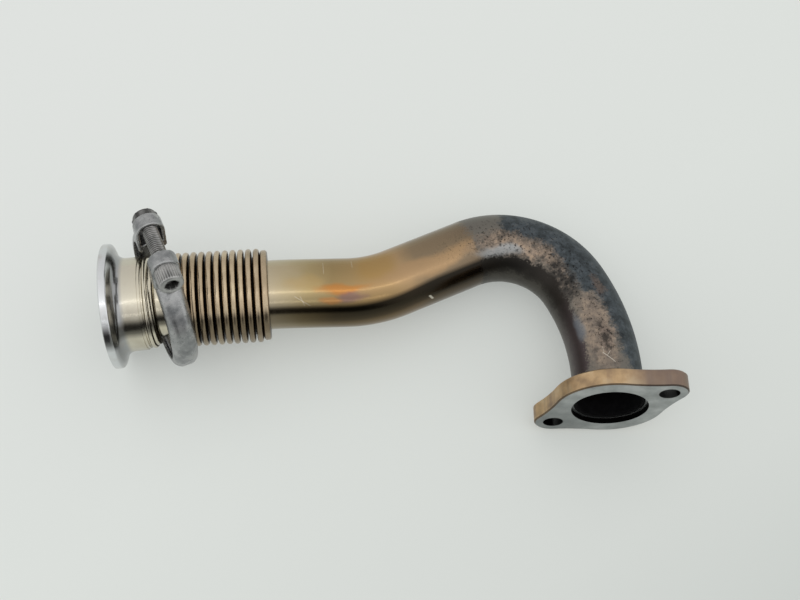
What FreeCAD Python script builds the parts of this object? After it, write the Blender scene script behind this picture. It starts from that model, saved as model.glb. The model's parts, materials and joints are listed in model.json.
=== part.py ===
# EGR pipe: a bent steel tube with a bellows, a bolt-on flange at one end,
# a V-flange at the other and a V-band clamp standing loose round the neck.
# Every length is in mm and every angle in degrees.
# It is modelled in the plane of its bends and then laid down as it comes to rest.
import math
import os

import FreeCAD
import Part
from FreeCAD import Placement, Rotation, Vector

os.makedirs("parts", exist_ok=True)

# Tube
TUBE_OD = 32.0
TUBE_WALL = 1.5
EASE_ANGLE = 2.4
EASE_LENGTH = 12.6
FIRST_STRAIGHT = 22.8
BEND_1_ANGLE = 23.1
BEND_1_RADIUS = 60.0
MIDDLE_STRAIGHT = 37.5
BEND_2_ANGLE = 87.5
BEND_2_RADIUS = 38.0
BEND_3_ANGLE = 28.5
BEND_3_RADIUS = 100.0
LAST_STRAIGHT = 15.0

# Bolt flange
FLANGE_THICK = 8.0
FLANGE_LOBE_R = 25.0
FLANGE_LUG_R = 8.6
FLANGE_BOLT_SPAN = 56.5
FLANGE_BOLT_HOLE = 9.0
FLANGE_TURN = 35.5
FLANGE_WAIST_R = 70.0
FLANGE_EDGE_BREAK = 0.6
FLANGE_FACE_RECESS = 2.5
FLANGE_FACE_BORE = 34.4
WELD_LEG = 2.2

# Bellows
WAVES = 11
WAVE_PITCH = 3.56
CREST_HEIGHT = 4.8
BELLOWS_ROOT_GAP = 0.9
BELLOWS_WALL = 0.5
CREST_WIDTH = 2.2
CREST_CHAMFER = 0.65
CUFF_LENGTH = 3.2
END_RING_WALL = 4.3
END_RING_ROUND = 1.2

# Stepped neck tube between the V-flange and the bellows
LIP_RISE = 5.1
LIP_WIDTH = 2.4
FLARE_STEP = 1.2
SHOULDER_LENGTH = 2.2
NECK_TUBE_LENGTH = 5.0
NECK_FLEX = 3.2
NECK_FLEX_TURN = -60.0
SPIGOT_LENGTH = 4.0
GROOVE_WIDTH = 0.8

# V-flange
RIM_RISE = 12.7
RIM_WIDTH = 3.4
RIM_BREAK = 0.4
RIM_ROUND = 0.8
SEAT_ANGLE = 20.0
SEAT_DEPTH = 4.2
SLEEVE_RISE = 5.5
SLEEVE_WALL = 1.7
SLEEVE_STEP = 0.6
SLEEVE_STEP_LENGTH = 1.2
SPIGOT_STEP = 1.2
V_FLANGE_LENGTH = 16.8
ROOT_FILLET = 4.8

# Clamp
CLAMP_CLEARANCE = 0.4
CLAMP_SPREAD = 1.9
CLAMP_WIDTH = 11.6
CLAMP_BAND = 1.9
CLAMP_LIP_BITE = 2.8
CLAMP_SHOULDER = 4.4
LUG_GAP = 15.0
LUG_HOOD = 4.4
LUG_PLATE = 2.4
LUG_WALL = 1.6
LUG_WIDTH = 12.8
LUG_CROWN = 1.0
BOLT_OFFSET = 5.4
BOLT_DIA = 7.0
BOLT_CLEARANCE = 0.3
BOLT_HEAD_DIA = 11.2
BOLT_HEAD_LENGTH = 8.0
BOLT_HEAD_BREAK = 0.7
BOLT_SOCKET_FLATS = 5.5
BOLT_SOCKET_DEPTH = 3.6
BOLT_STICK_OUT = 1.0
NUT_FLATS = 10.0
NUT_LENGTH = 3.2

# How the loose clamp lies on the neck
CLAMP_BEHIND_LIP = 3.6
CLAMP_SIDE = 0.3
CLAMP_LEAN = 8.5
CLAMP_YAW = 17.5
CLAMP_SPLIT_ANGLE = 11.0

tube_r = TUBE_OD / 2
tube_bore_r = tube_r - TUBE_WALL

# How far the middle of a quarter round stands from its square corner, for a radius of 1
ROUND_SHARE = 1 - math.sqrt(0.5)


def ring_face(outer_r, inner_r):
    """A flat ring across the X axis."""
    outer = Part.Face(Part.Wire(Part.makeCircle(outer_r, Vector(0, 0, 0), Vector(1, 0, 0))))
    inner = Part.Face(Part.Wire(Part.makeCircle(inner_r, Vector(0, 0, 0), Vector(1, 0, 0))))
    return outer.cut(inner)


def turned(points):
    """A solid turned about the X axis from (x, radius) points, where an entry
    of four numbers is an arc: its middle point, then its end."""
    edges = []
    last = Vector(*points[0], 0)
    for point in points[1:] + [points[0]]:
        end = Vector(*point[-2:], 0)
        if len(point) == 4:
            edges.append(Part.Arc(last, Vector(*point[:2], 0), end).toShape())
        else:
            edges.append(Part.LineSegment(last, end).toShape())
        last = end
    face = Part.Face(Part.Wire(edges))
    return face.revolve(Vector(0, 0, 0), Vector(1, 0, 0), 360)


def arc_step(radius, angle):
    """The move along an arc in the XY plane, where a positive angle turns left."""
    side = 1 if angle > 0 else -1
    half = math.radians(abs(angle)) / 2
    chord = 2 * radius * math.sin(half)
    move = Vector(chord * math.cos(half), side * chord * math.sin(half), 0)
    return Placement(move, Rotation(Vector(0, 0, 1), angle))


def bent_piece(outer_r, inner_r, radius, angle):
    """A ring section carried round an arc in the XY plane."""
    side = 1 if angle > 0 else -1
    face = ring_face(outer_r, inner_r)
    return face.revolve(Vector(0, side * radius, 0), Vector(0, 0, side), abs(angle))


def straight_piece(outer_r, inner_r, length):
    return ring_face(outer_r, inner_r).extrude(Vector(length, 0, 0))


# Bent tube, from the bellows to the bolt flange
steps = [
    ("arc", EASE_LENGTH / math.radians(EASE_ANGLE), -EASE_ANGLE),
    ("line", FIRST_STRAIGHT, 0),
    ("arc", BEND_1_RADIUS, BEND_1_ANGLE),
    ("line", MIDDLE_STRAIGHT, 0),
    ("arc", BEND_2_RADIUS, -BEND_2_ANGLE),
    ("arc", BEND_3_RADIUS, -BEND_3_ANGLE),
    ("line", LAST_STRAIGHT - FLANGE_FACE_RECESS, 0),
]
place = Placement(Vector(0, 0, 0), Rotation())
pieces = [straight_piece(tube_r, tube_bore_r, CUFF_LENGTH)]
pieces[0].translate(Vector(-CUFF_LENGTH, 0, 0))
bend_2_place = None
for kind, size, angle in steps:
    if kind == "line":
        piece = straight_piece(tube_r, tube_bore_r, size)
        move = Placement(Vector(size, 0, 0), Rotation())
    else:
        piece = bent_piece(tube_r, tube_bore_r, size, angle)
        move = arc_step(size, angle)
    if size == BEND_2_RADIUS:
        bend_2_place = place.copy()
    piece.Placement = place
    pieces.append(piece)
    place = place.multiply(move)
bent_tube = pieces[0].multiFuse(pieces[1:]).removeSplitter()
tube_end_place = place

# Bolt flange, drawn across its own X axis with the mating face at x = 0
flange_place = tube_end_place.multiply(Placement(Vector(FLANGE_FACE_RECESS, 0, 0), Rotation()))
flange_turn = Placement(Vector(0, 0, 0), Rotation(Vector(1, 0, 0), FLANGE_TURN))
lug_x = FLANGE_BOLT_SPAN / 2


def flange_outline():
    """A round lobe in the middle and a lug round each bolt, joined by
    slightly hollow flanks that run into both without a corner."""
    lobe_reach = FLANGE_LOBE_R + FLANGE_WAIST_R
    lug_reach = FLANGE_LUG_R + FLANGE_WAIST_R
    waist_y = (lobe_reach ** 2 - lug_reach ** 2 + lug_x ** 2) / (2 * lug_x)
    waist_z = math.sqrt(lobe_reach ** 2 - waist_y ** 2)

    def corner(y_side, z_side):
        """The hollow flank of one quarter: its lug end, middle and lobe end."""
        centre = Vector(0, y_side * waist_y, z_side * waist_z)
        lug = Vector(0, y_side * lug_x, 0)
        to_lug = (lug - centre).normalize() * FLANGE_WAIST_R
        to_lobe = (centre * -1).normalize() * FLANGE_WAIST_R
        to_middle = (to_lug + to_lobe).normalize() * FLANGE_WAIST_R
        return centre + to_lug, centre + to_middle, centre + to_lobe

    edges = []
    for side in (1, -1):
        below = corner(side, -side)
        above = corner(side, side)
        beyond = corner(-side, side)
        lug_tip = Vector(0, side * (lug_x + FLANGE_LUG_R), 0)
        edges.append(Part.Arc(below[0], lug_tip, above[0]).toShape())
        edges.append(Part.Arc(*above).toShape())
        edges.append(Part.Arc(above[2], Vector(0, 0, side * FLANGE_LOBE_R), beyond[2]).toShape())
        edges.append(Part.Arc(*beyond[::-1]).toShape())
    return Part.Wire(edges)


plate = Part.Face(flange_outline()).extrude(Vector(-FLANGE_THICK, 0, 0))
rim_edges = [e for e in plate.Edges if abs(e.BoundBox.XLength) < 0.01]
plate = plate.makeChamfer(FLANGE_EDGE_BREAK, rim_edges)
bead = turned([
    (-FLANGE_THICK, tube_r),
    (-FLANGE_THICK, tube_r + WELD_LEG),
    (-FLANGE_THICK - WELD_LEG, tube_r),
])
flange_back = Vector(-FLANGE_THICK - WELD_LEG, 0, 0)
bore = Part.makeCylinder(tube_r, FLANGE_THICK + WELD_LEG, flange_back, Vector(1, 0, 0))
face_bore = Part.makeCylinder(
    FLANGE_FACE_BORE / 2, FLANGE_FACE_RECESS + 1, Vector(-FLANGE_FACE_RECESS, 0, 0), Vector(1, 0, 0)
)
flange = plate.fuse(bead).cut(bore).cut(face_bore)
for side in (1, -1):
    hole = Part.makeCylinder(
        FLANGE_BOLT_HOLE / 2, FLANGE_THICK + 2, Vector(-FLANGE_THICK - 1, side * lug_x, 0), Vector(1, 0, 0)
    )
    flange = flange.cut(hole)
flange.Placement = flange_place.multiply(flange_turn)

# Bellows, with a plain cuff over each tube end
cuff_r = tube_r + BELLOWS_WALL
crest_r = cuff_r + CREST_HEIGHT
crest_round = CREST_WIDTH / 2
root_r = cuff_r + BELLOWS_ROOT_GAP
bellows_right = -CUFF_LENGTH
bellows_left = bellows_right - WAVES * WAVE_PITCH
skin = [(0, tube_r), (0, cuff_r), (bellows_right, cuff_r)]
lining = []
for index in range(WAVES):
    middle = bellows_right - (index + 0.5) * WAVE_PITCH
    right = middle + crest_round
    left = middle - crest_round
    edge_r = crest_r - CREST_CHAMFER
    root = cuff_r if index == WAVES - 1 else root_r
    start = cuff_r if index == 0 else root_r
    skin.append((right, start))
    skin.append((right, edge_r))
    skin.append((right - CREST_CHAMFER, crest_r))
    skin.append((left + CREST_CHAMFER, crest_r))
    skin.append((left, edge_r))
    skin.append((left, root))
    inner_top = crest_r - BELLOWS_WALL
    lining.append((right - BELLOWS_WALL, start - BELLOWS_WALL))
    lining.append((right - BELLOWS_WALL, inner_top - CREST_CHAMFER / 2))
    lining.append((left + BELLOWS_WALL, inner_top - CREST_CHAMFER / 2))
    lining.append((left + BELLOWS_WALL, root - BELLOWS_WALL))
skin.append((bellows_left - CUFF_LENGTH, cuff_r))
skin.append((bellows_left - CUFF_LENGTH, tube_r))
bellows = turned(skin + lining[::-1])

# End ring pressed over the right-hand cuff
end_ring_r = cuff_r + END_RING_WALL
ring_corner = END_RING_ROUND * ROUND_SHARE
end_ring = turned([
    (0, cuff_r),
    (0, end_ring_r - END_RING_ROUND),
    (-ring_corner, end_ring_r - ring_corner, -END_RING_ROUND, end_ring_r),
    (-CUFF_LENGTH + END_RING_ROUND, end_ring_r),
    (-CUFF_LENGTH + ring_corner, end_ring_r - ring_corner, -CUFF_LENGTH, end_ring_r - END_RING_ROUND),
    (-CUFF_LENGTH, cuff_r),
])

# Neck tube: straight inside the bellows cuff, eased round, then flared to a lip
lip_r = tube_r + LIP_RISE
sleeve_r = tube_r + SLEEVE_RISE
spigot_r = sleeve_r - SLEEVE_WALL
cuff_end = bellows_left - CUFF_LENGTH
flex_turn = Placement(Vector(0, 0, 0), Rotation(Vector(1, 0, 0), NECK_FLEX_TURN))
mirror = Placement(Vector(cuff_end, 0, 0), Rotation(Vector(0, 0, 1), 180))
flex_radius = NECK_TUBE_LENGTH / math.radians(NECK_FLEX)
neck_start = mirror.multiply(flex_turn)
neck_end = neck_start.multiply(arc_step(flex_radius, NECK_FLEX)).multiply(flex_turn.inverse())
inside_cuff = straight_piece(tube_r, tube_bore_r, CUFF_LENGTH)
inside_cuff.translate(Vector(cuff_end, 0, 0))
eased = bent_piece(tube_r, tube_bore_r, flex_radius, NECK_FLEX)
eased.Placement = neck_start
shoulder_x = SHOULDER_LENGTH
lip_x = shoulder_x + LIP_WIDTH
spigot_x = lip_x + SPIGOT_LENGTH
lip_round = LIP_WIDTH / 2
flare = turned([
    (0, tube_bore_r),
    (0, tube_r),
    (shoulder_x * 0.35, tube_r + (lip_r - tube_r) * 0.65, shoulder_x, lip_r - lip_round),
    (shoulder_x + lip_round, lip_r, lip_x, lip_r - lip_round),
    (lip_x, spigot_r),
    (spigot_x, spigot_r),
    (spigot_x, spigot_r - TUBE_WALL),
    (lip_x, spigot_r - TUBE_WALL),
    (shoulder_x, tube_bore_r + FLARE_STEP),
])
flare.Placement = neck_end
neck_tube = inside_cuff.multiFuse([eased, flare]).removeSplitter()

# V-flange with its sleeve, drawn with its joint face at x = 0
rim_r = tube_r + RIM_RISE
seat_slope = math.tan(math.radians(SEAT_ANGLE))
seat_end = RIM_WIDTH + SEAT_DEPTH * seat_slope
seat_r = rim_r - SEAT_DEPTH
seat_top = RIM_WIDTH + RIM_ROUND * seat_slope
rim_corner = RIM_ROUND * ROUND_SHARE
sleeve_start = seat_end + ROOT_FILLET
sleeve_end = V_FLANGE_LENGTH - SLEEVE_STEP_LENGTH
v_bore_r = spigot_r - SPIGOT_STEP
spigot_stop = V_FLANGE_LENGTH + GROOVE_WIDTH - SPIGOT_LENGTH
v_flange = turned([
    (0, v_bore_r),
    (0, rim_r - RIM_BREAK),
    (RIM_BREAK, rim_r),
    (RIM_WIDTH - RIM_ROUND, rim_r),
    (RIM_WIDTH - rim_corner / 2, rim_r - rim_corner, seat_top, rim_r - RIM_ROUND),
    (seat_end, seat_r),
    (seat_end + ROOT_FILLET * 0.34, sleeve_r + (seat_r - sleeve_r) * 0.34, sleeve_start, sleeve_r),
    (sleeve_end, sleeve_r),
    (sleeve_end, sleeve_r - SLEEVE_STEP),
    (V_FLANGE_LENGTH, sleeve_r - SLEEVE_STEP),
    (V_FLANGE_LENGTH, spigot_r),
    (spigot_stop, spigot_r),
    (spigot_stop, v_bore_r),
])
v_flange_reach = V_FLANGE_LENGTH + GROOVE_WIDTH + lip_x
v_flange_place = neck_end.multiply(Placement(Vector(v_flange_reach, 0, 0), Rotation(Vector(0, 0, 1), 180)))
v_flange.Placement = v_flange_place

# Clamp, drawn round the X axis with the bolt across the top
# Loosened, it springs open and stands wider than the rims that it joins
groove_r = rim_r + CLAMP_CLEARANCE + CLAMP_SPREAD
clamp_r = groove_r + CLAMP_BAND
lip_bore_r = groove_r - CLAMP_CLEARANCE - CLAMP_LIP_BITE
half_width = CLAMP_WIDTH / 2
floor_half = RIM_WIDTH + CLAMP_CLEARANCE
mouth_half = floor_half + (groove_r - lip_bore_r) * math.tan(math.radians(SEAT_ANGLE))
shoulder_r = clamp_r - CLAMP_SHOULDER
bolt_r = clamp_r + BOLT_OFFSET
gap_half = LUG_GAP / 2
void_half = half_width + LUG_WIDTH


def band():
    return turned([
        (-mouth_half, lip_bore_r),
        (-half_width, lip_bore_r),
        (-half_width, shoulder_r),
        (-half_width * 0.8, clamp_r - CLAMP_SHOULDER * 0.35, -half_width * 0.35, clamp_r),
        (half_width * 0.35, clamp_r),
        (half_width * 0.8, clamp_r - CLAMP_SHOULDER * 0.35, half_width, shoulder_r),
        (half_width, lip_bore_r),
        (mouth_half, lip_bore_r),
        (floor_half, groove_r),
        (-floor_half, groove_r),
    ])


def seat_void():
    """The room inside the band that the two joined rims fill."""
    return turned([
        (-void_half, 0),
        (-void_half, lip_bore_r),
        (-mouth_half, lip_bore_r),
        (-floor_half, groove_r),
        (floor_half, groove_r),
        (mouth_half, lip_bore_r),
        (void_half, lip_bore_r),
        (void_half, 0),
    ])


def arch(half, low, length, y0):
    """A block with a round top about the bolt, from low up, along the bolt."""
    block = Part.makeBox(2 * half, length, bolt_r - low, Vector(-half, y0, low))
    crown = Part.makeCylinder(half, length, Vector(0, y0, bolt_r), Vector(0, 1, 0))
    return block.fuse(crown)


def lug(side):
    """The band's end, folded up into a hood that is open towards the gap."""
    foot = math.sqrt(clamp_r ** 2 - far_y ** 2) - CLAMP_BAND
    outside = arch(lug_half, foot, LUG_HOOD + LUG_PLATE, gap_half)
    inside = arch(lug_half - LUG_WALL, 0, LUG_HOOD, gap_half)
    bolt_hole = Part.makeCylinder(
        BOLT_DIA / 2 + BOLT_CLEARANCE, far_y, Vector(0, gap_half, bolt_r), Vector(0, 1, 0)
    )
    back_edges = [e for e in outside.Edges if e.BoundBox.YMin > far_y - 0.01 and e.BoundBox.ZMax > bolt_r + 1]
    solid = outside.makeFillet(LUG_CROWN, back_edges).cut(inside).cut(bolt_hole).cut(seat_void())
    if side < 0:
        solid = solid.mirror(Vector(0, 0, 0), Vector(0, 1, 0))
    return solid


far_y = gap_half + LUG_HOOD + LUG_PLATE
lug_half = LUG_WIDTH / 2
gap_box = Part.makeBox(void_half * 2, LUG_GAP, clamp_r * 2, Vector(-void_half, -gap_half, 0))
clamp_band = band().cut(gap_box).multiFuse([lug(1), lug(-1)])

# Clamp bolt and nut
seat_y = far_y
head = Part.makeCylinder(BOLT_HEAD_DIA / 2, BOLT_HEAD_LENGTH, Vector(0, seat_y, bolt_r), Vector(0, 1, 0))
head_end = [e for e in head.Edges if e.BoundBox.YMin > seat_y + BOLT_HEAD_LENGTH - 0.01]
head = head.makeChamfer(BOLT_HEAD_BREAK, head_end)
shank_end = -seat_y - NUT_LENGTH - BOLT_STICK_OUT
shank = Part.makeCylinder(BOLT_DIA / 2, seat_y - shank_end, Vector(0, shank_end, bolt_r), Vector(0, 1, 0))


def hexagon(flats, length, y0):
    corner = flats / math.sqrt(3)
    points = []
    for index in range(7):
        angle = math.radians(60 * index + 30)
        points.append(Vector(corner * math.cos(angle), y0, bolt_r + corner * math.sin(angle)))
    return Part.Face(Part.makePolygon(points)).extrude(Vector(0, length, 0))


socket = hexagon(BOLT_SOCKET_FLATS, BOLT_SOCKET_DEPTH + 1, seat_y + BOLT_HEAD_LENGTH - BOLT_SOCKET_DEPTH)
clamp_bolt = head.fuse(shank).cut(socket).removeSplitter()
clamp_nut = hexagon(NUT_FLATS, NUT_LENGTH, -seat_y - NUT_LENGTH)
nut_bore = Part.makeCylinder(
    BOLT_DIA / 2, NUT_LENGTH + 2, Vector(0, -seat_y - NUT_LENGTH - 1, bolt_r), Vector(0, 1, 0)
)
clamp_nut = clamp_nut.cut(nut_bore)


# Resting position: the pipe lies on the V-flange rim, the big bend and the bolt flange
def rest_groups():
    rim = []
    bend = []
    plate_edge = []
    for index in range(360):
        angle = math.radians(index)
        for x in (RIM_BREAK, RIM_WIDTH - RIM_ROUND):
            point = Vector(x, rim_r * math.cos(angle), rim_r * math.sin(angle))
            rim.append(v_flange_place.multVec(point))
    for index in range(60):
        angle = -BEND_2_ANGLE * index / 59
        section = bend_2_place.multiply(arc_step(BEND_2_RADIUS, angle - 0.001))
        for turn in range(-60, 61):
            slope = math.radians(turn - 90)
            bend.append(section.multVec(Vector(0, tube_r * math.cos(slope), tube_r * math.sin(slope))))
    back = flange_place.multiply(flange_turn)
    for edge in flange_outline().Edges:
        for point in edge.discretize(40):
            plate_edge.append(back.multVec(Vector(-FLANGE_THICK + FLANGE_EDGE_BREAK, point.y, point.z)))
    return [rim, bend, plate_edge]


up = Vector(0, 0, 1)
groups = rest_groups()
for attempt in range(12):
    low = [min(group, key=lambda point: point.dot(up)) for group in groups]
    across = (low[1] - low[0]).cross(low[2] - low[0])
    if across.z < 0:
        across = across * -1
    up = across.normalize()
lay_down = Placement(Vector(0, 0, 0), Rotation(up, Vector(0, 0, 1)))
floor_z = min(lay_down.multVec(point).z for point in low)
lay_down = Placement(Vector(0, 0, -floor_z), Rotation()).multiply(lay_down)

# The loose clamp stands on the floor round the neck tube and leans over
clamp_turn = Rotation(Vector(0, 0, 1), CLAMP_YAW)
clamp_turn = clamp_turn.multiply(Rotation(Vector(0, 1, 0), CLAMP_LEAN))
clamp_turn = clamp_turn.multiply(Rotation(Vector(1, 0, 0), -CLAMP_SPLIT_ANGLE))
clamp_turn = clamp_turn.multiply(Rotation(Vector(0, 0, 1), 180))
beside = lay_down.multiply(neck_end).multVec(Vector(-CLAMP_BEHIND_LIP, 0, 0))
clamp_pieces = {
    "clamp_band": clamp_band,
    "clamp_bolt": clamp_bolt,
    "clamp_nut": clamp_nut,
}
clamp_place = Placement(Vector(beside.x, beside.y + CLAMP_SIDE, 0), clamp_turn)
lowest = 1000.0
for piece in clamp_pieces.values():
    trial = piece.copy()
    trial.Placement = clamp_place.multiply(trial.Placement)
    lowest = min(lowest, trial.optimalBoundingBox().ZMin)
clamp_place = Placement(Vector(0, 0, -lowest), Rotation()).multiply(clamp_place)

# Collect the pieces and bring the origin to the middle of the footprint, on the floor
nodes = {
    "bent_tube": bent_tube,
    "bolt_flange": flange,
    "bellows": bellows,
    "bellows_end_ring": end_ring,
    "neck_tube": neck_tube,
    "v_flange": v_flange,
}
for shape in nodes.values():
    shape.Placement = lay_down.multiply(shape.Placement)
for name, shape in clamp_pieces.items():
    shape.Placement = clamp_place.multiply(shape.Placement)
    nodes[name] = shape
whole = Part.makeCompound(list(nodes.values())).optimalBoundingBox()
to_origin = Placement(Vector(-whole.Center.x, -whole.Center.y, -whole.ZMin), Rotation())

# Write one file per piece
for name, shape in nodes.items():
    shape.Placement = to_origin.multiply(shape.Placement)
    shape.exportStep("parts/" + name + ".step")
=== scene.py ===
# %% [markdown]
# An EGR pipe, dressed in Blender.
# The real part carries hot exhaust gas from an engine back to its intake. It is a bent
# stainless tube with a bellows, a bolt flange at one end, a V-flange at the other, and a
# V-band clamp that stands loose round the neck.
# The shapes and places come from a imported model, loaded here as a fixed frame. This lesson
# gives each piece the surface that years of heat and gas leave on it.

# %% Load the frame
import json
import math

import bpy
import numpy as np
from mathutils import Matrix, Vector


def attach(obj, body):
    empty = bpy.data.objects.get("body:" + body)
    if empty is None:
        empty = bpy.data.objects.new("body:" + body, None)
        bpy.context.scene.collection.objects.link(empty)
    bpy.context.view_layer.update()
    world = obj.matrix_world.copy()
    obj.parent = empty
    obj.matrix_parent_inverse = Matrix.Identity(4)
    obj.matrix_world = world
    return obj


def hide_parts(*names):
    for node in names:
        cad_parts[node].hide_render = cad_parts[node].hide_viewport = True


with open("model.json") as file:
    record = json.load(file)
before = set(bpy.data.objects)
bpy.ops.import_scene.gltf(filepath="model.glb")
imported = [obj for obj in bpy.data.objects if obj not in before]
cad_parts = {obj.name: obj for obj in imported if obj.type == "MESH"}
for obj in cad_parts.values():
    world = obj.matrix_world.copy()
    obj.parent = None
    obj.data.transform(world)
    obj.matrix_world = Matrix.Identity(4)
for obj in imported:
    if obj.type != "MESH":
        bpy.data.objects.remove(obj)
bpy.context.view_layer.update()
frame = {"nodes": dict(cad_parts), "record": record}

MM = 0.001
nodes = frame["nodes"]
mounts = {mount["name"]: mount for mount in frame["record"]["mounts"]}
print("nodes:", sorted(nodes))

# %% [markdown]
# Materials are written as node trees. Two helpers keep them short: one turns the hex colours
# that people pick into the linear numbers that the renderer adds up, and one adds a
# node with its settings and its inputs, where an input is either a value or another node.
# A Mix node takes its factor at input 0 and its two colours at inputs 6 and 7.

# %% Helpers for materials
FACTOR = 0
FIRST = 6
SECOND = 7


def srgb(code):
    """Linear red, green, blue and alpha from a hex colour."""
    parts = [int(code[i:i + 2], 16) / 255 for i in (1, 3, 5)]
    linear = [c / 12.92 if c <= 0.04045 else ((c + 0.055) / 1.055) ** 2.4 for c in parts]
    return (*linear, 1.0)


def add(tree, kind, inputs=None, stops=None, **settings):
    """One shader node: its properties, its inputs and, on a ramp, its colour stops."""
    node = tree.nodes.new("ShaderNode" + kind)
    for name, value in settings.items():
        setattr(node, name, value)
    for name, value in (inputs or {}).items():
        if isinstance(value, bpy.types.Node):
            value = next(socket for socket in value.outputs if socket.enabled)
        if isinstance(value, bpy.types.NodeSocket):
            tree.links.new(value, node.inputs[name])
        else:
            node.inputs[name].default_value = value
    if stops:
        ramp = node.color_ramp.elements
        while len(ramp) < len(stops):
            ramp.new(0.5)
        for element, (place, colour) in zip(ramp, stops):
            element.position = place
            element.color = srgb(colour) if isinstance(colour, str) else (colour, colour, colour, 1)
    return node


def new_material(name):
    """A named material with a bare Principled shader, and its tree."""
    material = bpy.data.materials.new(name)
    material.use_nodes = True
    tree = material.node_tree
    tree.nodes.clear()
    shader = add(tree, "BsdfPrincipled")
    add(tree, "OutputMaterial", {"Surface": shader.outputs[0]})
    return material, tree, shader


print("mid grey as a linear number:", round(srgb("#808080")[0], 3))

# %% [markdown]
# Most of this part is round about some axis, and a shader or a mesh that follows the axis
# looks turned rather than painted. A turned ring gives its own axis away: its points average
# to the centre, and they spread least along the axis.

# %% Find the axis of a turned ring
def points_of(node):
    """The corners of a node, in mm, each once."""
    points = np.array([vertex.co for vertex in nodes[node].data.vertices]) / MM
    return np.unique(np.round(points, 4), axis=0)


def ring_axis(node, towards):
    """The two end centres of a turned ring, in mm, and its axis, pointing to one side."""
    points = points_of(node)
    centre = points.mean(axis=0)
    axis = np.linalg.eigh(np.cov((points - centre).T))[1][:, 0]
    if axis @ np.array(towards) < 0:
        axis = -axis
    reach = (points - centre) @ axis
    return Vector(centre + axis * reach.min()), Vector(centre + axis * reach.max()), Vector(axis)


ring_left, ring_right, bellows_axis = ring_axis("bellows_end_ring", (1, 0, 0))
flange_out = Vector(mounts["flange_face"]["axis"]).normalized()
flange_centre = Vector(mounts["flange_bolts"]["pos_m"]) / MM
v_out = Vector(mounts["v_flange_face"]["axis"]).normalized()
bend_plane_up = bellows_axis.cross(flange_out).normalized()
if bend_plane_up.z < 0:
    bend_plane_up.negate()
print("bellows ends at", [round(c, 2) for c in ring_right], "mm")

# %% [markdown]
# The tube was drawn in a mill and bent on a mandrel, so it is one round section carried
# along straight runs and arcs. Its middle line is walked step by step, as a bending machine
# feeds it: so many mm straight, then so many degrees round a radius.

# %% Walk along the middle of the tube
CUFF = 3.2
FLANGE_RECESS = 2.5
STEPS = [
    ("run", CUFF, 0),
    ("bend", 12.6 / math.radians(2.4), -2.4),
    ("run", 22.8, 0),
    ("bend", 60.0, 23.1),
    ("run", 37.5, 0),
    ("bend", 38.0, -87.5),
    ("bend", 100.0, -28.5),
    ("run", 15.0 - FLANGE_RECESS, 0),
]
RING_SPACING = 0.9


def tube_line():
    """Places along the middle of the tube: point, heading and distance from the bellows."""
    point = ring_right - bellows_axis * CUFF
    heading = bellows_axis - bend_plane_up * bellows_axis.dot(bend_plane_up)
    heading.normalize()
    travelled = -CUFF
    places = [(point.copy(), heading.copy(), travelled)]
    for kind, size, turn in STEPS:
        length = size if kind == "run" else size * math.radians(abs(turn))
        count = max(2, round(length / RING_SPACING))
        for index in range(1, count + 1):
            part = index / count
            if kind == "run":
                here = point + heading * size * part
                ahead = heading.copy()
            else:
                side = 1 if turn > 0 else -1
                pivot = point + bend_plane_up.cross(heading) * size * side
                spin = Matrix.Rotation(math.radians(turn) * part, 3, bend_plane_up)
                here = pivot + spin @ (point - pivot)
                ahead = spin @ heading
            places.append((here, ahead, travelled + length * part))
        point, heading = here.copy(), ahead.copy()
        travelled += length
    return places


line = tube_line()
miss = (line[-1][0] + flange_out * FLANGE_RECESS - flange_centre).length
print("tube:", round(line[-1][2], 1), "mm long, ends", round(miss, 3), "mm from the flange centre")

# %% [markdown]
# A tube, a bellows and a bolt can all be built ring by ring, with a band of four-sided faces
# from each ring to the next. Faces that meet at a steep angle keep a sharp edge between them.

# %% Skin a row of rings
def skin(name, rings, close_along=False, smooth_limit=40):
    """A quad mesh over equal rings of points, in mm, written in metres."""
    sides = len(rings[0])
    points = [tuple(c * MM for c in point) for ring in rings for point in ring]
    faces = []
    bands = len(rings) if close_along else len(rings) - 1
    for row in range(bands):
        here = row * sides
        after = (row + 1) % len(rings) * sides
        for side in range(sides):
            beside = (side + 1) % sides
            faces.append((here + side, here + beside, after + beside, after + side))
    mesh = bpy.data.meshes.new(name)
    mesh.from_pydata(points, [], faces)
    mesh.validate()
    mesh.shade_smooth()
    mesh.set_sharp_from_angle(angle=math.radians(smooth_limit))
    piece = bpy.data.objects.new(name, mesh)
    bpy.context.scene.collection.objects.link(piece)
    return piece


# %% [markdown]
# The tube's skin goes out along the outside and comes back along the bore. Each point stores
# how far along and how far round the tube it lies. The heat tint needs just that, because it
# runs in bands along the pipe and differs between the outside and the inside of each bend.

# %% Carry a ring along the tube
TUBE_R = 16.0
TUBE_WALL = 1.5
TUBE_SIDES = 112


def tube_ring(place, radius):
    """A ring of points round one place on the middle line."""
    point, heading = place[:2]
    outward = bend_plane_up.cross(heading)
    ring = []
    for side in range(TUBE_SIDES):
        angle = 2 * math.pi * side / TUBE_SIDES
        ring.append(point + (bend_plane_up * math.cos(angle) + outward * math.sin(angle)) * radius)
    return ring


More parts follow.
